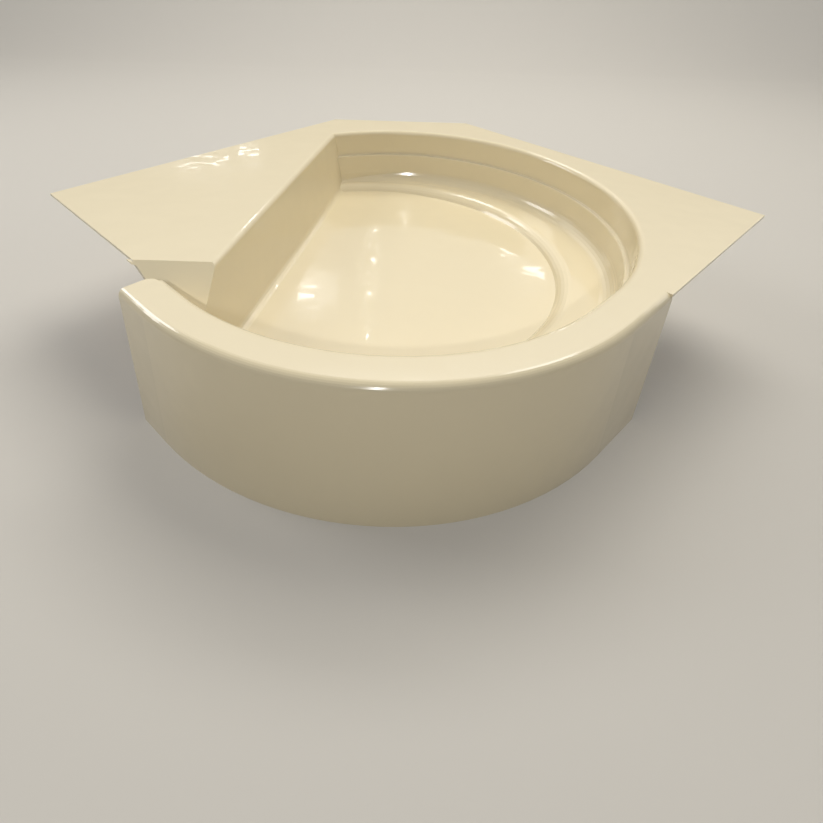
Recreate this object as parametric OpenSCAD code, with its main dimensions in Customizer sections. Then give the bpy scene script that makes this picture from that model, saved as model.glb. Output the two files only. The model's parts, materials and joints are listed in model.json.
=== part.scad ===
// Corner shower tray for a small washroom: a thermoformed shell with a bowed front apron,
// stiffened with plywood and timber, standing on screw-adjusted feet, with a low bottle trap.
// Frame: X to the right, Y to the back, Z up, origin under the middle of the outline.

/* [Outline] */
// Length of each wall edge, from the square corner to the wing's tip
wall_len = 800; // [780:5:850]
// How much of the corner is cut off, measured along each wall
corner_cut = 200; // [160:5:220]
// Overall height, from the floor to the rim
tray_h = 215; // [205:1:240]
// Thickness of the formed sheet
sheet = 4; // [3:0.5:5]

/* [Front bow] */
// Radius of the bowed front, at the rim's outer edge
bow_r = 405; // [395:1:415]
// Width of the front rim
rim_w = 47; // [42:1:52]
// Rounding of the rim's outer edge
rim_round = 10; // [7:1:14]
// How much further out the apron stands at its foot
apron_flare = 4; // [2:0.5:8]
// Straight length of rim to the left of the bow
left_run = 60; // [40:1:70]
// Straight length of rim to the right of the bow
right_run = 98; // [80:1:110]

/* [Bowl] */
// Depth from the rim to the standing floor
bowl_depth = 111; // [100:1:120]
// How far the back of the bowl is set over from the bow's centre, towards the right wall
bowl_shift = 42; // [30:1:50]
// Rounding where the flange turns down into the bowl
lip_round = 8; // [5:1:12]
// Depth of the ledge below the flange
ledge_drop = 46; // [40:1:52]
// Width of the ledge
ledge_w = 7; // [4:1:10]
// Draft of the bowl's walls
wall_draft = 3; // [1:0.5:6]
// Radius of the hollow corner at the foot of the wall
cove_round = 22; // [14:1:28]

/* [Floor] */
// Radius of the round floor
floor_r = 297; // [285:1:303]
// How far left the floor's centre is from the bowl's centre
floor_over = 45; // [38:1:50]
// How far back the floor's centre is from the bowl's centre
floor_back = 2; // [0:1:8]
// Height of the crescent step above the floor
step_h = 13; // [11:1:16]
// Rounding over the top of the crescent step
step_round = 26; // [20:1:34]

/* [Shelf] */
// Distance from the corner's middle line to the riser at its back end
riser_back_x = 143; // [130:1:150]
// Distance from the corner to that end of the riser
riser_back_y = 250; // [240:1:260]
// Angle of the riser, from straight back
riser_turn = 13; // [11:0.5:15]
// Lean of the riser
riser_draft = 10.5; // [6:0.5:14]
// Hollow corner at the foot of the riser
riser_cove = 12; // [8:1:18]
// Distance from the corner to the fold where the shelf's front slopes down
fold_y = 763; // [750:1:770]
// Slope of the drain ramp
ramp_slope = 35; // [28:1:40]

/* [Waste] */
// Distance from the bow's centre forward to the waste
waste_fwd = 274; // [270:1:280]
// Radius of the dished seat round the waste
sump_r = 38; // [36:0.5:40]
// Depth of the dished seat below the floor
sump_drop = 5; // [4.5:0.5:6]
// Radius of the waste's flange
waste_flange_r = 31; // [29:0.5:32]
// Outside radius of the waste's tail
tail_r = 20; // [19:0.5:21]
// Wall of the waste and trap mouldings
pipe_wall = 3; // [2.5:0.25:3.5]
// Outside radius of the outlet's hose end
hose_r = 14.25; // [12.5:0.25:15]
// Length of the outlet's hose end
hose_len = 42; // [35:1:60]

/* [Boards] */
// Thickness of the board under the floor
board_th = 15; // [12:1:18]
// Thickness of the board under the shelf
shelf_board_th = 9; // [6:1:12]
// Width of the edge battens
batten_w = 32; // [28:1:34]
// Thickness of the edge battens
batten_th = 18; // [15:1:22]
// Height of the timber inside the apron's foot
apron_batten_h = 45; // [35:1:60]

/* [Feet] */
// Radius of the foot studs
stud_r = 5; // [4:0.5:6]
// How far each foot screws up or down from the middle
foot_travel = 8; // [5:1:10]
// Radius of the foot pads
pad_r = 25; // [20:1:30]
// Height of the rails
rail_h = 27; // [24:1:30]
// Thickness of the rails' steel
rail_th = 2; // [1.5:0.25:2.5]
// Width of the rails' channel
rail_w = 32; // [28:1:36]

/* [Hidden] */
$fn = 96;

ivory = [0.95, 0.90, 0.76];
ply = [0.80, 0.66, 0.46];
timber = [0.86, 0.73, 0.52];
steel = [0.72, 0.73, 0.75];
white_plastic = [0.93, 0.93, 0.92];
black_plastic = [0.10, 0.10, 0.11];
black_rubber = [0.07, 0.07, 0.07];

// Cosine of 45 degrees: the walls run at 45 degrees to X and Y
c45 = sqrt(0.5);
// Overlap that lets two shapes of one solid join, and reach of a cut past a face
bite = 1;
// A length longer than any piece
far = 1500;
// Running clearance round a stud or threaded tail, and loose clearance round a screw
run_gap = 0.08;
loose_gap = 0.3;

// Places along the walls are given as u, the distance from the corner along the left wall,
// and v, the distance from the corner along the right wall
function from_walls(u, v) = [(v - u) * c45, -(u + v) * c45];

// Radius of the bowl, which leaves the rim its width
bowl_r = bow_r - rim_w;
// The bow is tangent to the right wing's end line, and its rim to the left wing's end line
bow_c = from_walls(wall_len + rim_w - bow_r, wall_len - bow_r);
bowl_c = bow_c + bowl_shift * [c45, c45];
floor_c = bowl_c + [-floor_over, floor_back];
sump_c = bow_c + [0, -waste_fwd];

// The corner's place in the frame, so that the origin is under the middle of the outline
front_y = bow_c[1] - bow_r - apron_flare;
back_y = -corner_cut * c45;
corner_y = -(front_y + back_y) / 2;

// Heights
floor_z = tray_h - bowl_depth;
step_z = floor_z + step_h;
ledge_z = tray_h - ledge_drop;
sump_z = floor_z - sump_drop;
plate_z = tray_h - sheet;
board_z = floor_z - sheet - board_th;
web_z = board_z - rail_h;
cut_top = tray_h + 20;

// Points of an arc in a profile
function arc_points(cx, cz, r, a0, a1, n) =
    [for (i = [0:n]) let (a = a0 + (a1 - a0) * i / n) [cx + r * cos(a), cz + r * sin(a)]];

// Radii of the stepped wall, from the lip down to the foot
upper_top_r = bowl_r - lip_round;
upper_foot_r = upper_top_r - (ledge_drop - lip_round) * tan(wall_draft);
lower_top_r = upper_foot_r - ledge_w;
function lower_foot_r(foot) = lower_top_r - (ledge_z - foot) * tan(wall_draft);
ledge_round = 2.5;

// Place across the riser where its foot's hollow corner is centred
riser_top = [lip_round * (cos(riser_draft) - 0.5), tray_h - lip_round * (1 - sin(riser_draft))];
riser_foot = riser_top[0] + riser_cove * cos(riser_draft)
    + (riser_top[1] - floor_z - riser_cove * (1 - sin(riser_draft))) * tan(riser_draft);

// The ramp's length and drop, measured from the fold
ramp_len = 150;
ramp_drop = ramp_len * tan(ramp_slope);
// Place of the left rim's free end along the right wall's direction
rim_end = wall_len - bow_r - left_run;
rim_end_round = 14;

// Sweeps a half profile round the bowl's plan: the front arc, the straight part between the two
// centres, the back half turn, and straight on from the front arc behind the rim's left end
module round_bowl() {
    translate(bow_c) {
        rotate(-135) rotate_extrude(angle = 90) children();
        rotate(45) {
            rotate([90, 0, 90]) linear_extrude(bowl_shift) {
                children();
                mirror([1, 0]) children();
            }
            translate([bowl_shift, 0]) rotate(-90) rotate_extrude(angle = 180) children();
        }
        rotate(-135) rotate([90, 0, 0]) linear_extrude(bowl_r - 60) children();
    }
}

// A half profile's points, moved out and down by g. Moved by the sheet, it is the moulding's underside
function grown(points, g) = [for (p = points) [p[0] > 0 ? p[0] + g : 0, p[1] - g]];

// Half profile of the space over the bowl, down to the crescent step
bowl_points = concat(
    [[0, step_z]],
    arc_points(lower_foot_r(step_z) - cove_round, step_z + cove_round, cove_round, -90, -wall_draft, 6),
    arc_points(lower_top_r + ledge_round, ledge_z - ledge_round, ledge_round, 180, 90, 3),
    arc_points(upper_foot_r - ledge_round, ledge_z + ledge_round, ledge_round, -90, -wall_draft, 3),
    arc_points(bowl_r, tray_h - lip_round, lip_round, 180, 90, 5));

module bowl_profile(g, top) {
    polygon(concat(grown(bowl_points, g), [[bowl_r + g, top], [0, top]]));
}

// The round floor below the crescent step, with the step's rounded edge. Where the floor comes
// close to the bowl's wall it ends in the wall's own hollow corner
module floor_space(g) {
    edge_z = step_z - step_round;
    edge_r = floor_r + sqrt(pow(step_round, 2) - pow(floor_z - edge_z, 2));
    r = step_round - g;
    low = asin((floor_z - g - edge_z) / r);
    cove_r = lower_foot_r(floor_z) - cove_round - 0.3;
    intersection() {
        translate(floor_c) rotate_extrude() polygon(concat(
            [[0, floor_z - g]],
            arc_points(edge_r, edge_z, r, 180 - low, 90, 5),
            [[edge_r + 60, step_z - g + 45], [edge_r + 60, step_z + 60], [0, step_z + 60]]));
        round_bowl() polygon(concat(
            [[0, floor_z - 2 * sheet]],
            [[cove_r, floor_z - 2 * sheet]],
            grown(arc_points(cove_r, floor_z + cove_round, cove_round, -80, -wall_draft, 6), g),
            [[cove_r + cove_round + g, step_z + 30 - g], [0, step_z + 30 - g]]));
    }
}

// Everything to the right of the riser
module riser_space(g, top) {
    translate([-riser_back_x, -riser_back_y]) rotate(-riser_turn) rotate([90, 0, 0])
        translate([0, 0, -far / 4]) linear_extrude(far) polygon([for (p = concat(
            [[-lip_round / 2, top + g]],
            arc_points(-lip_round / 2, tray_h - lip_round, lip_round, 90, riser_draft, 5),
            arc_points(riser_foot, floor_z + riser_cove, riser_cove, 180 + riser_draft, 270, 4),
            [[riser_foot, floor_z - 40], [far / 2, floor_z - 40], [far / 2, top + g]]))
            p + [-g, -g]]);
}

// Everything above the drain ramp, in front of the fold
module ramp_space(g, top) {
    translate([-wall_len * 0.6, 0, 0]) rotate([90, 0, 90]) linear_extrude(wall_len / 2)
        polygon([[g - fold_y, top], [g - fold_y, tray_h - g],
            [g - fold_y - ramp_len, tray_h - g - ramp_drop],
            [-fold_y - 2 * ramp_len, tray_h - g - ramp_drop], [-fold_y - 2 * ramp_len, top]]);
}

// A block that lies along the walls: u and v are its near corner, in lengths along the walls
module wall_block(u, v, z, du, dv, dz) {
    at = from_walls(u, v);
    translate([at[0], at[1], z]) rotate(-135) cube([du, dv, dz]);
}

// The valley behind the rim has no wall past the rim's free end, so it is open at the wing's end
module valley_end(g, top) {
    wall_block(wall_len - 30, rim_end - 70, floor_z, g > 0 ? 30 : 50, 70, top - floor_z);
}

// The dished seat round the waste
module sump_space(g, top) {
    seat_cove = 5;
    slope = 20;
    translate(sump_c) rotate_extrude() polygon(grown(concat(
        [[0, sump_z]],
        arc_points(sump_r - seat_cove, sump_z + seat_cove, seat_cove, -90, -slope, 4),
        [[sump_r + 7, step_z + 4], [0, step_z + 4]]), g));
}

// All of the space inside the tray
module tray_space(g, top) {
    intersection() {
        union() {
            round_bowl() bowl_profile(g, top);
            floor_space(g);
        }
        union() {
            riser_space(g, top);
            ramp_space(g, top);
        }
    }
    intersection() {
        valley_end(g, top);
        ramp_space(g, top);
    }
    sump_space(g, top);
}

// Section of the rim's outer edge and the apron
module apron_profile() {
    inner = rim_round - sheet;
    polygon(concat(
        [[bow_r + apron_flare, 0]],
        arc_points(bow_r - rim_round, tray_h - rim_round, rim_round, 0, 90, 6),
        [[bow_r - 2 * rim_w, tray_h], [bow_r - 2 * rim_w, plate_z]],
        arc_points(bow_r - rim_round, tray_h - rim_round, inner, 90, 0, 6),
        [[bow_r + apron_flare - sheet, 0]]));
}

// Everything below is built from the corner of the walls, then set back onto the frame's origin
module placed(c) {
    color(c) translate([0, corner_y, 0]) children();
}

// The flange stops short of the rim's rounded edge, which the apron's section brings with it
flat_end = wall_len - 2 * rim_round;

module tray_shell() placed(ivory) difference() {
    union() {
        translate([0, 0, plate_z]) linear_extrude(sheet) polygon([for (p = [
            [corner_cut, 0], [wall_len, 0], [wall_len, wall_len - bow_r],
            [wall_len + rim_w - bow_r, wall_len - bow_r], [wall_len + rim_w - bow_r, flat_end],
            [wall_len + rim_w - bow_r - right_run, flat_end],
            [wall_len + rim_w - bow_r - right_run, wall_len], [0, wall_len], [0, corner_cut]])
            from_walls(p[0], p[1])]);
        translate(bow_c) {
            rotate(-135) rotate_extrude(angle = 90) apron_profile();
            rotate(-135) rotate([90, 0, 0]) linear_extrude(left_run) apron_profile();
            rotate(-45) translate([0, right_run + sheet, 0]) rotate([90, 0, 0])
                linear_extrude(right_run + sheet) apron_profile();
        }
        tray_space(sheet, tray_h - sheet / 2);
    }
    tray_space(0, cut_top);
    intersection() {
        ramp_space(0, cut_top);
        difference() {
            wall_block(wall_len - 20, rim_end - 5, floor_z, 20 + rim_end_round,
                rim_end_round + 5, cut_top - floor_z);
            translate(from_walls(wall_len + rim_end_round, rim_end + rim_end_round))
                cylinder(h = cut_top, r = rim_end_round);
        }
    }
    translate([sump_c[0], sump_c[1], 0]) cylinder(h = floor_z, r = tail_r + loose_gap);
}

// Boards and battens
board_r = floor_r - 11;

module pan_board() placed(ply) difference() {
    translate([floor_c[0], floor_c[1], board_z]) cylinder(h = board_th, r = board_r);
    translate([-riser_back_x, -riser_back_y, 0]) rotate(-riser_turn)
        translate([riser_foot + 4 - far, -far / 2, board_z - bite]) cube([far, far, board_th + 2 * bite]);
    translate([sump_c[0], sump_c[1], board_z - bite]) cylinder(h = board_th + 2 * bite, r = sump_r + 14);
    at_screws() translate([0, 0, board_z - bite]) cylinder(h = screw_len - rail_th + bite + 1, r = screw_r);
}

module shelf_board() placed(ply) difference() {
    wall_block(corner_cut + 60, batten_w + 4, plate_z - shelf_board_th, 480, 400, shelf_board_th);
    translate([-riser_back_x, -riser_back_y, 0]) rotate(-riser_turn)
        translate([-lip_round - 12, -far / 2, plate_z - 50]) cube([far, far, 100]);
    translate([-far / 2, 12 - fold_y - far, plate_z - 50]) cube([far, far, 100]);
}

batten_len = wall_len - corner_cut - 100;

module batten(u, v, du, dv) {
    wall_block(u, v, plate_z - batten_th, du, dv, batten_th);
}

module left_batten() placed(timber) batten(corner_cut + 40, 0, batten_len, batten_w);
module right_batten() placed(timber) batten(0, corner_cut + 40, batten_w, batten_len);

module back_batten() placed(timber) {
    translate([-90, back_y - batten_w, plate_z - batten_th]) cube([180, batten_w, batten_th]);
}

module apron_batten() placed(timber) {
    outer = bow_r + apron_flare - sheet;
    lean = apron_batten_h * apron_flare / (tray_h - rim_round);
    translate(bow_c) rotate(-130) rotate_extrude(angle = 80)
        polygon([[outer - batten_th, 0], [outer, 0], [outer - lean, apron_batten_h],
            [outer - batten_th, apron_batten_h]]);
}

// Rails, screws and feet
rail_flange = 14;
screw_r = 2;
screw_len = 13;
screw_head_r = 4;
screw_head_h = 2.2;
nut_af = 17;
nut_h = 6;
rail_y = [floor_c[1] + 180, floor_c[1] - 20, floor_c[1] - 205];

// How far the board reaches left and right at a rail
function rail_half(y) = sqrt(pow(board_r, 2) - pow(abs(y - floor_c[1]) + rail_w / 2 + rail_flange, 2));
function rail_x1(y) = floor_c[0] + rail_half(y) - 6;
function rail_x0(y) = -riser_back_x + (y + riser_back_y - rail_w / 2 - rail_flange) * tan(riser_turn)
    + riser_foot / cos(riser_turn) + 36;
foot_inset = 42;
feet = [[rail_x0(rail_y[0]) + foot_inset, rail_y[0]], [rail_x1(rail_y[0]) - foot_inset, rail_y[0]],
    [(rail_x0(rail_y[1]) + rail_x1(rail_y[1])) / 2, rail_y[1]],
    [rail_x0(rail_y[2]) + foot_inset, rail_y[2]], [rail_x1(rail_y[2]) - foot_inset, rail_y[2]]];

module at_screws() {
    for (y = rail_y, side = [-1, 1], k = [0, 1, 2])
        translate([rail_x0(y) + 16 + k * (rail_x1(y) - rail_x0(y) - 32) / 2,
            y + side * (rail_w + rail_flange) / 2, 0]) children();
}

module rail(y) placed(steel) difference() {
    w = rail_w / 2;
    f = w + rail_flange;
    translate([rail_x0(y), y, 0]) rotate([90, 0, 90]) linear_extrude(rail_x1(y) - rail_x0(y))
        polygon([[-f, board_z], [-f, board_z - rail_th], [-w, board_z - rail_th], [-w, web_z],
            [w, web_z], [w, board_z - rail_th], [f, board_z - rail_th], [f, board_z],
            [w - rail_th, board_z], [w - rail_th, web_z + rail_th], [rail_th - w, web_z + rail_th],
            [rail_th - w, board_z]]);
    at_screws() translate([0, 0, board_z - 2 * rail_th]) cylinder(h = 3 * rail_th, r = screw_r + loose_gap);
    for (p = feet) translate([p[0], p[1], web_z - bite])
        cylinder(h = rail_th + 2 * bite, r = stud_r + 2 * loose_gap);
}

module back_rail() rail(rail_y[0]);
module middle_rail() rail(rail_y[1]);
module front_rail() rail(rail_y[2]);

module rail_screws() placed(steel) at_screws() {
    translate([0, 0, board_z - rail_th - screw_head_h]) cylinder(h = screw_head_h, r = screw_head_r);
    translate([0, 0, board_z - rail_th - bite]) cylinder(h = screw_len + bite, r = screw_r);
}

module adjusting_nuts() placed(steel) difference() {
    for (p = feet, z = [web_z - nut_h, web_z + rail_th])
        translate([p[0], p[1], z]) cylinder(h = nut_h, r = nut_af / 2 / cos(30), $fn = 6);
    for (p = feet) translate([p[0], p[1], web_z - 3 * nut_h]) cylinder(h = 6 * nut_h, r = stud_r + run_gap);
}

pad_h = 7;
pad_boss_h = 14;
stud_top = board_z - foot_travel - 3;

module stud(p) placed(steel) {
    translate([p[0], p[1], pad_h - bite]) cylinder(h = stud_top - pad_h, r = stud_r);
    translate([p[0], p[1], stud_top - bite]) cylinder(h = bite, r1 = stud_r, r2 = stud_r - bite);
}

module pad(p) placed(black_plastic) translate(p) difference() {
    union() {
        rotate_extrude() polygon([[0, 0], [pad_r - 1, 0], [pad_r, 1], [pad_r, 4], [12, pad_h], [0, pad_h]]);
        cylinder(h = pad_boss_h, r = 2 * stud_r);
    }
    translate([0, 0, pad_h - bite]) cylinder(h = pad_boss_h, r = stud_r);
}

module stud_back_left() stud(feet[0]);
module stud_back_right() stud(feet[1]);
module stud_centre() stud(feet[2]);
module stud_front_left() stud(feet[3]);
module stud_front_right() stud(feet[4]);
module pad_back_left() pad(feet[0]);
module pad_back_right() pad(feet[1]);
module pad_centre() pad(feet[2]);
module pad_front_left() pad(feet[3]);
module pad_front_right() pad(feet[4]);

// Waste and trap, stacked down from the dished seat
gasket_th = 1.5;
flange_th = 3;
washer_th = 2.5;
backnut_h = 8;
flange_z = sump_z + gasket_th;
backnut_z = sump_z - sheet - washer_th - backnut_h;
seal_th = 3;
neck_gap = 0.4;
neck_wall = 4.6;
trap_nut_lip = 4;
neck_z = backnut_z - 3 - trap_nut_lip - seal_th;
cup_r = 34;
cup_top = neck_z - 16;
cup_z = 13;
cap_h = 9;
cap_z = cup_z - seal_th - pipe_wall;
outlet_z = (cup_top + cap_z + cap_h) / 2;
outlet_r = hose_r + 1.75;
outlet_len = 52;
outlet_lip = 3;
tail_step = 0.5;
tail_z = cup_z + 5;

// A ring from radius a to radius b, from height z up by h
module ring(a, b, z, h) {
    translate([0, 0, z]) difference() {
        cylinder(h = h, r = b);
        translate([0, 0, -bite]) cylinder(h = h + 2 * bite, r = a);
    }
}

// Turns a piece to lie along the outlet, which runs straight back, starting y from the waste's middle
module on_outlet(y) {
    translate([0, y, outlet_z]) rotate([-90, 0, 0]) children();
}

module outlet_ring(a, b, y, h) {
    on_outlet(y) ring(a, b, 0, h);
}

// Grip lugs round a nut
module lugs(r, z, h, n) {
    for (i = [0:n - 1]) rotate(i * 360 / n) translate([r - 1.5, -3, z]) cube([3.5, 6, h]);
}

module waste_body() placed(white_plastic) translate(sump_c) {
    ring(tail_r - pipe_wall, waste_flange_r, flange_z, flange_th);
    ring(tail_r - pipe_wall, tail_r, tail_z, flange_z - tail_z + bite);
}

module waste_gasket() placed(black_rubber) translate(sump_c)
    ring(tail_r + loose_gap, waste_flange_r - 1, sump_z, gasket_th);

module waste_washer() placed(black_rubber) translate(sump_c)
    ring(tail_r + loose_gap, waste_flange_r - 1, sump_z - sheet - washer_th, washer_th);

module waste_backnut() placed(white_plastic) translate(sump_c) difference() {
    union() {
        ring(tail_r - 1, waste_flange_r - 1, backnut_z, backnut_h);
        lugs(waste_flange_r - 1, backnut_z, backnut_h - 1, 8);
    }
    cylinder(h = tray_h, r = tail_r + run_gap);
}

strainer_r = waste_flange_r - 4;
skirt_r = tail_r - pipe_wall - 0.5;

module strainer() placed(steel) translate(sump_c) {
    top = flange_z + flange_th;
    difference() {
        translate([0, 0, top]) rotate_extrude() polygon([[0, 0], [strainer_r, 0],
            [strainer_r - 0.6, 1.2], [strainer_r - 6, 2], [0, 2]]);
        for (ring_of = [[12, skirt_r - 4], [6, (skirt_r - 4) / 2]], i = [1:ring_of[0]])
            rotate(i * 360 / ring_of[0]) translate([ring_of[1], 0, top - bite])
            cylinder(h = 2 + 2 * bite, r = 2);
    }
    ring(skirt_r - 1.5, skirt_r, top - 14, 14);
}

module trap_seal() placed(black_rubber) translate(sump_c)
    ring(tail_r + run_gap, tail_r + neck_gap + neck_wall, neck_z, seal_th);

module trap_nut() placed(white_plastic) translate(sump_c) {
    r = tail_r + neck_gap + neck_wall;
    ring(tail_r + loose_gap, r + 4, neck_z + seal_th, trap_nut_lip);
    ring(r + run_gap, r + 4, neck_z - 10, 10 + seal_th);
    lugs(r + 4, neck_z - 8, 12, 8);
}

module trap_cup() placed(white_plastic) translate(sump_c) {
    bore = tail_r + neck_gap;
    difference() {
        union() {
            translate([0, 0, cup_z]) cylinder(h = cup_top - cup_z, r = cup_r);
            translate([0, 0, cup_top - bite]) cylinder(h = neck_z - cup_top + bite, r = bore + neck_wall);
            on_outlet(0) cylinder(h = outlet_len, r = outlet_r);
        }
        translate([0, 0, cup_z - bite]) cylinder(h = cup_top - cup_z - pipe_wall + bite, r = cup_r - pipe_wall);
        translate([0, 0, cup_z]) cylinder(h = neck_z, r = bore);
        on_outlet(tail_r) cylinder(h = outlet_len, r = hose_r - pipe_wall);
    }
}

module cleanout_seal() placed(black_rubber) translate(sump_c)
    ring(cup_r - pipe_wall, cup_r, cup_z - seal_th, seal_th);

module cleanout_cap() placed(white_plastic) translate(sump_c) difference() {
    union() {
        translate([0, 0, cap_z]) cylinder(h = cap_h, r = cup_r + 3.5);
        lugs(cup_r + 3.5, cap_z + 1, cap_h - 2, 8);
    }
    translate([0, 0, cap_z + pipe_wall]) cylinder(h = cap_h, r = cup_r + run_gap);
}

module outlet_seal() placed(black_rubber) translate(sump_c)
    outlet_ring(hose_r - pipe_wall, outlet_r, outlet_len, seal_th);

module outlet_nut() placed(white_plastic) translate(sump_c) {
    outlet_ring(outlet_r + run_gap, outlet_r + 4, outlet_len - 12, 12 + 2 * seal_th);
    outlet_ring(hose_r + tail_step + loose_gap, outlet_r + 4, outlet_len + 2 * seal_th, outlet_lip);
    on_outlet(outlet_len - 10) lugs(outlet_r + 4, 0, 14, 8);
}

module outlet_tail() placed(white_plastic) translate(sump_c) {
    outlet_ring(hose_r - pipe_wall, outlet_r, outlet_len + seal_th, seal_th);
    outlet_ring(hose_r - pipe_wall, hose_r + tail_step, outlet_len + 2 * seal_th - bite, outlet_lip + bite);
    outlet_ring(hose_r - pipe_wall, hose_r, outlet_len + 2 * seal_th + outlet_lip - bite, hose_len + bite);
}

tray_shell();
pan_board();
shelf_board();
left_batten();
right_batten();
back_batten();
apron_batten();
back_rail();
middle_rail();
front_rail();
rail_screws();
adjusting_nuts();
stud_back_left();
stud_back_right();
stud_centre();
stud_front_left();
stud_front_right();
pad_back_left();
pad_back_right();
pad_centre();
pad_front_left();
pad_front_right();
waste_body();
waste_gasket();
waste_washer();
waste_backnut();
strainer();
trap_seal();
trap_nut();
trap_cup();
cleanout_seal();
cleanout_cap();
outlet_seal();
outlet_nut();
outlet_tail();
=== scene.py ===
"""Corner shower tray: camera, studio, finishes and the fine surface of the moulding."""

import json
import math

import bpy
from mathutils import Matrix, Vector

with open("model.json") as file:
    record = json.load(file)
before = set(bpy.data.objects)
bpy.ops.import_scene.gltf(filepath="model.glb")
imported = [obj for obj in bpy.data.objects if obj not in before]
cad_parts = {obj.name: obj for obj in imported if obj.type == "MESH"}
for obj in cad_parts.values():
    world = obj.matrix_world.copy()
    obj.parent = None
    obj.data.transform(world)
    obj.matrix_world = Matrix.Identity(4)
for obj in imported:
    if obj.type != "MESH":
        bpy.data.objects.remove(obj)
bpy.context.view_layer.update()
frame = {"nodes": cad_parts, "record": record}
nodes = frame["nodes"]
MM = 0.001
SHELL = "tray_shell"

# Camera of the photograph, in the row frame
PICTURE = 823
CAMERA_AT = Vector((-56.7, -876.7, 619.4)) * MM
YAW, PITCH, ROLL = (math.radians(a) for a in (0.1, 33.7, -1.8))
FOCAL_PIXELS = 605.9
CENTRE_PIXEL = (370.0, 300.0)
SENSOR = 36.0

COAT_ROUGHNESS = 0.03
# The faint waves of the moulded sheet: how many to a metre, about, and how deep in metres
WAVE_SCALE = 21.0
WAVE_DEPTH = 0.0005


def linear(r, g, b):
    """Linear colour of an sRGB one given in 0 to 255."""
    shares = [value / 255 for value in (r, g, b)]
    return tuple(c / 12.92 if c <= 0.04045 else ((c + 0.055) / 1.055) ** 2.4 for c in shares) + (1.0,)


def principled(name, color, roughness, metallic=0.0, coat=0.0, ior=1.5):
    """A new material and its Principled node."""
    mat = bpy.data.materials.new(name)
    mat.use_nodes = True
    node = mat.node_tree.nodes["Principled BSDF"]
    node.inputs["Base Color"].default_value = color
    node.inputs["Roughness"].default_value = roughness
    node.inputs["Metallic"].default_value = metallic
    node.inputs["Coat Weight"].default_value = coat
    node.inputs["Coat Roughness"].default_value = COAT_ROUGHNESS
    node.inputs["IOR"].default_value = ior
    return mat, node


def noise(tree, scale, detail=2.0, stretch=(1, 1, 1)):
    """Noise over the object's own coordinates, in metres."""
    coords = tree.nodes.new("ShaderNodeTexCoord")
    mapping = tree.nodes.new("ShaderNodeMapping")
    mapping.inputs["Scale"].default_value = stretch
    tex = tree.nodes.new("ShaderNodeTexNoise")
    tex.inputs["Scale"].default_value = scale
    tex.inputs["Detail"].default_value = detail
    tree.links.new(coords.outputs["Object"], mapping.inputs["Vector"])
    tree.links.new(mapping.outputs["Vector"], tex.inputs["Vector"])
    return tex


def mix_colors(tree, factor, a, b, target):
    """Blends two colours by a factor socket into a target socket."""
    mix = tree.nodes.new("ShaderNodeMix")
    mix.data_type = "RGBA"
    mix.inputs["A"].default_value = a
    mix.inputs["B"].default_value = b
    tree.links.new(factor, mix.inputs["Factor"])
    tree.links.new(mix.outputs["Result"], target)


def bump(tree, height, strength, distance, target):
    """A bump from a height socket, given in metres, into a normal socket."""
    node = tree.nodes.new("ShaderNodeBump")
    node.inputs["Strength"].default_value = strength
    node.inputs["Distance"].default_value = distance
    tree.links.new(height, node.inputs["Height"])
    tree.links.new(node.outputs["Normal"], target)


def ivory_material():
    """Glossy moulded sheet with faint waves."""
    mat, node = principled("ivory_gloss", linear(232, 219, 186), 0.14, coat=0.6)
    waves = noise(mat.node_tree, WAVE_SCALE, 1.0)
    for target in ("Normal", "Coat Normal"):
        bump(mat.node_tree, waves.outputs["Fac"], 1.0, WAVE_DEPTH, node.inputs[target])
    return mat


def wood_material(name, light, dark, scale):
    """Raw wood with a grain along the object's X axis."""
    mat, node = principled(name, light, 0.7)
    grain = noise(mat.node_tree, scale, 6.0, (3, 40, 40))
    mix_colors(mat.node_tree, grain.outputs["Fac"], light, dark, node.inputs["Base Color"])
    bump(mat.node_tree, grain.outputs["Fac"], 0.4, 0.0006, node.inputs["Normal"])
    return mat


def metal_material(name, color, roughness):
    """Plated metal with a fine spangle."""
    mat, node = principled(name, color, roughness, metallic=1.0)
    spangle = noise(mat.node_tree, 160.0, 2.0)
    bump(mat.node_tree, spangle.outputs["Fac"], 0.15, 0.0003, node.inputs["Normal"])
    return mat


def moulded_material(name, color, roughness):
    """Moulded plastic or rubber with a fine grain."""
    mat, node = principled(name, color, roughness)
    grain = noise(mat.node_tree, 400.0, 2.0)
    bump(mat.node_tree, grain.outputs["Fac"], 0.1, 0.0002, node.inputs["Normal"])
    return mat


MATERIALS = {
    "ivory_shell": ivory_material(),
    "plywood": wood_material("plywood", linear(206, 172, 128), linear(176, 138, 94), 1.6),
    "timber": wood_material("timber", linear(220, 186, 138), linear(192, 150, 98), 1.2),
    "galvanised_steel": metal_material("galvanised_steel", linear(190, 194, 198), 0.42),
    "zinc_steel": metal_material("zinc_steel", linear(205, 204, 198), 0.3),
    "pad_plastic": moulded_material("pad_plastic", linear(38, 38, 40), 0.5),
    "stainless": metal_material("stainless", linear(212, 212, 210), 0.22),
    "seal_rubber": moulded_material("seal_rubber", linear(32, 32, 32), 0.7),
    "waste_plastic": moulded_material("waste_plastic", linear(232, 232, 229), 0.3),
}

slots = {part["node"]: part["material_slot"] for part in frame["record"]["subparts"]}
for name, obj in nodes.items():
    obj.data.materials.clear()
    obj.data.materials.append(MATERIALS[slots[name]])


def smooth(obj, angle):
    """Smooth shading below an angle in degrees, with flat faces kept flat."""
    for polygon in obj.data.polygons:
        polygon.use_smooth = True
    split = obj.modifiers.new("split", "EDGE_SPLIT")
    split.split_angle = math.radians(angle)
    weight = obj.modifiers.new("weight", "WEIGHTED_NORMAL")
    weight.weight = 100
    weight.keep_sharp = True


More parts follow.
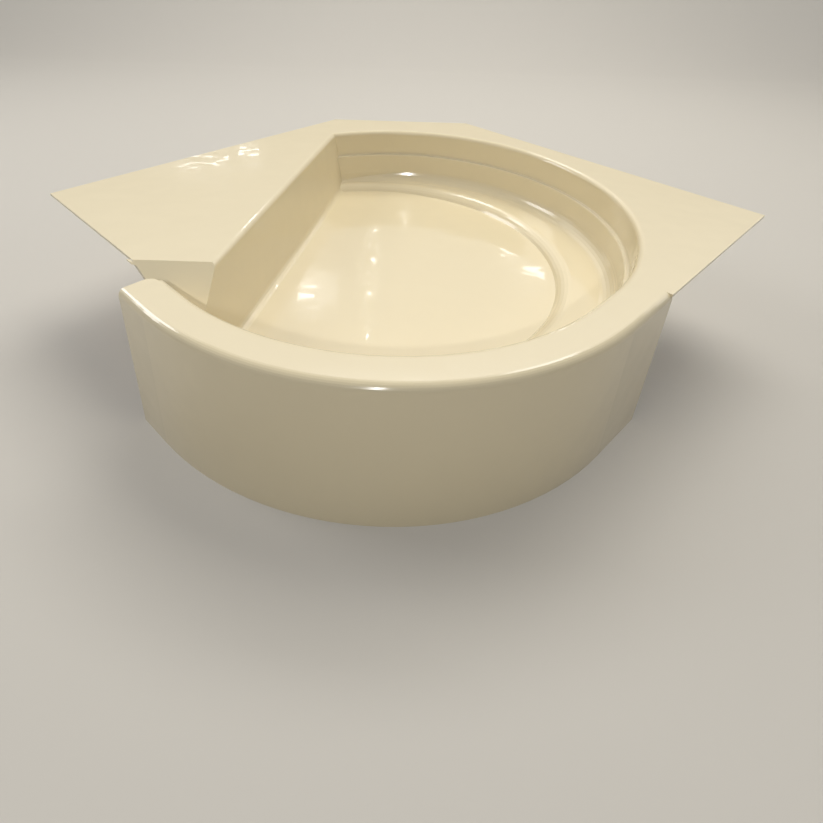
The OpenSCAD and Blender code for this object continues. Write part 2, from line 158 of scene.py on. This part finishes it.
def smooth_step(tree, value, start_end, low_high):
    """A socket that eases from low to high while a value goes from start to end."""
    step = tree.nodes.new("ShaderNodeMapRange")
    step.interpolation_type = "SMOOTHSTEP"
    step.inputs["From Min"].default_value, step.inputs["From Max"].default_value = start_end
    step.inputs["To Min"].default_value, step.inputs["To Max"].default_value = low_high
    tree.links.new(value, step.inputs["Value"])
    return step.outputs["Result"]


def seen_directly(tree, strength):
    """A node that gives a strength to camera and mirror rays, and its third input to all."""
    path = tree.nodes.new("ShaderNodeLightPath")
    seen = tree.nodes.new("ShaderNodeMath")
    seen.operation = "MAXIMUM"
    scaled = tree.nodes.new("ShaderNodeMath")
    scaled.operation = "MULTIPLY_ADD"
    scaled.inputs[1].default_value = strength
    scaled.inputs[2].default_value = 0.0
    tree.links.new(path.outputs["Is Camera Ray"], seen.inputs[0])
    tree.links.new(path.outputs["Is Glossy Ray"], seen.inputs[1])
    tree.links.new(seen.outputs["Value"], scaled.inputs[0])
    return scaled


def stage_mesh():
    """Studio floor and backdrop in one piece, with a glow that only camera and mirrors see."""
    front, back, wide = -9.0, 2.6, 9.0
    rise, bend, bend_steps = 3.6, 0.8, 24
    angles = [math.radians(90 * i / bend_steps) for i in range(bend_steps + 1)]
    profile = [(front, 0.0)] + [
        (back - bend + bend * math.sin(a), bend - bend * math.cos(a)) for a in angles
    ] + [(back, rise)]
    verts = [(x, y, z) for y, z in profile for x in (-wide, wide)]
    faces = [(2 * i, 2 * i + 1, 2 * i + 3, 2 * i + 2) for i in range(len(profile) - 1)]
    mesh = bpy.data.meshes.new("studio")
    mesh.from_pydata(verts, [], faces)
    mesh.polygons.foreach_set("use_smooth", [True] * len(faces))
    obj = bpy.data.objects.new("studio", mesh)
    bpy.context.collection.objects.link(obj)
    mat, node = principled("studio", linear(190, 186, 179), 0.85)
    tree = mat.node_tree
    coords = tree.nodes.new("ShaderNodeTexCoord")
    xyz = tree.nodes.new("ShaderNodeSeparateXYZ")
    distance = tree.nodes.new("ShaderNodeVectorMath")
    distance.operation = "LENGTH"
    upper = smooth_step(tree, xyz.outputs["Z"], (0.7, 2.8), (0.12, 1.4))
    far = smooth_step(tree, distance.outputs["Value"], (2.4, 6.5), (0.0, 0.45))
    glow = tree.nodes.new("ShaderNodeMath")
    glow.operation = "ADD"
    lit = seen_directly(tree, 0.0)
    node.inputs["Emission Color"].default_value = linear(240, 237, 231)
    tree.links.new(coords.outputs["Object"], xyz.inputs["Vector"])
    tree.links.new(coords.outputs["Object"], distance.inputs[0])
    tree.links.new(upper, glow.inputs[0])
    tree.links.new(far, glow.inputs[1])
    tree.links.new(glow.outputs["Value"], lit.inputs[1])
    tree.links.new(lit.outputs["Value"], node.inputs["Emission Strength"])
    obj.data.materials.append(mat)
    return obj


stage_mesh()


def area_light(name, at, towards, size, power, color=(1, 1, 1)):
    """A rectangular lamp at a point, turned towards another, with its power in watts."""
    lamp = bpy.data.lights.new(name, "AREA")
    lamp.shape = "RECTANGLE"
    lamp.size, lamp.size_y = size
    lamp.energy = power
    lamp.color = color
    obj = bpy.data.objects.new(name, lamp)
    obj.location = at
    obj.rotation_euler = (Vector(towards) - Vector(at)).to_track_quat("-Z", "Y").to_euler()
    bpy.context.collection.objects.link(obj)
    return obj


WARM = (1.0, 0.965, 0.88)
overhead = area_light("overhead", (0.55, 1.05, 2.6), (0.1, 0.1, 0), (2.0, 1.6), 48, WARM)
overhead.visible_glossy = False
area_light("front", (-0.2, -3.0, 2.06), (0, 0, 0.1), (0.12, 0.12), 27)
area_light("window", (-2.2, 0.5, 1.7), (0.2, 0, 0.1), (1.0, 1.0), 17)

# Small lamps and windows behind the tray, which its gloss mirrors
LAMPS_Y = 2.4
# Place along X and Z, width and height in metres, and radiance
LAMPS = (
    (-0.03, 1.25, 0.012, 0.012, 45),
    (-0.04, 1.48, 0.014, 0.014, 45),
    (-0.05, 1.73, 0.02, 0.02, 45),
    (-0.06, 2.04, 0.018, 0.018, 45),
    (-0.46, 1.75, 0.13, 0.06, 9),
    (-0.38, 1.71, 0.24, 0.2, 1.0),
    (0.97, 1.53, 0.16, 0.02, 8),
    (0.82, 1.38, 0.13, 0.02, 7),
    (-1.02, 1.1, 0.3, 0.01, 7),
    (-1.25, 1.03, 0.2, 0.01, 6),
    (-0.75, 1.02, 0.12, 0.02, 6),
    (0.25, 3.16, 3.4, 0.9, 4.2),
)
for x, z, wide, high, radiance in LAMPS:
    power = radiance * math.pi * wide * high
    lamp = area_light("lamp", (x, LAMPS_Y, z), (0, 0, 0.1), (wide, high), power)
    lamp.visible_camera = False

world = bpy.data.worlds.new("studio")
bpy.context.scene.world = world
world.use_nodes = True
sky = world.node_tree
strength = seen_directly(sky, 0.62)
strength.inputs[2].default_value = 0.12
sky.nodes["Background"].inputs["Color"].default_value = linear(226, 222, 214)
sky.links.new(strength.outputs["Value"], sky.nodes["Background"].inputs["Strength"])

forward = Vector((
    math.sin(YAW) * math.cos(PITCH), math.cos(YAW) * math.cos(PITCH), -math.sin(PITCH)))
level = Vector((math.cos(YAW), -math.sin(YAW), 0))
down = forward.cross(level)
right = math.cos(ROLL) * level + math.sin(ROLL) * down
below = -math.sin(ROLL) * level + math.cos(ROLL) * down
lens = bpy.data.cameras.new("camera")
lens.sensor_width = SENSOR
lens.lens = FOCAL_PIXELS / PICTURE * SENSOR
lens.shift_x = (PICTURE / 2 - CENTRE_PIXEL[0]) / PICTURE
lens.shift_y = -(PICTURE / 2 - CENTRE_PIXEL[1]) / PICTURE
lens.clip_start = 0.01
camera = bpy.data.objects.new("camera", lens)
axes = Matrix((right, -below, -forward)).transposed()
camera.matrix_world = Matrix.Translation(CAMERA_AT) @ axes.to_4x4()
bpy.context.collection.objects.link(camera)
bpy.context.scene.camera = camera
bpy.context.scene.view_settings.view_transform = "Standard"

SHELL_ANGLE, OTHER_ANGLE = 28, 32
for name, obj in nodes.items():
    smooth(obj, SHELL_ANGLE if name == SHELL else OTHER_ANGLE)
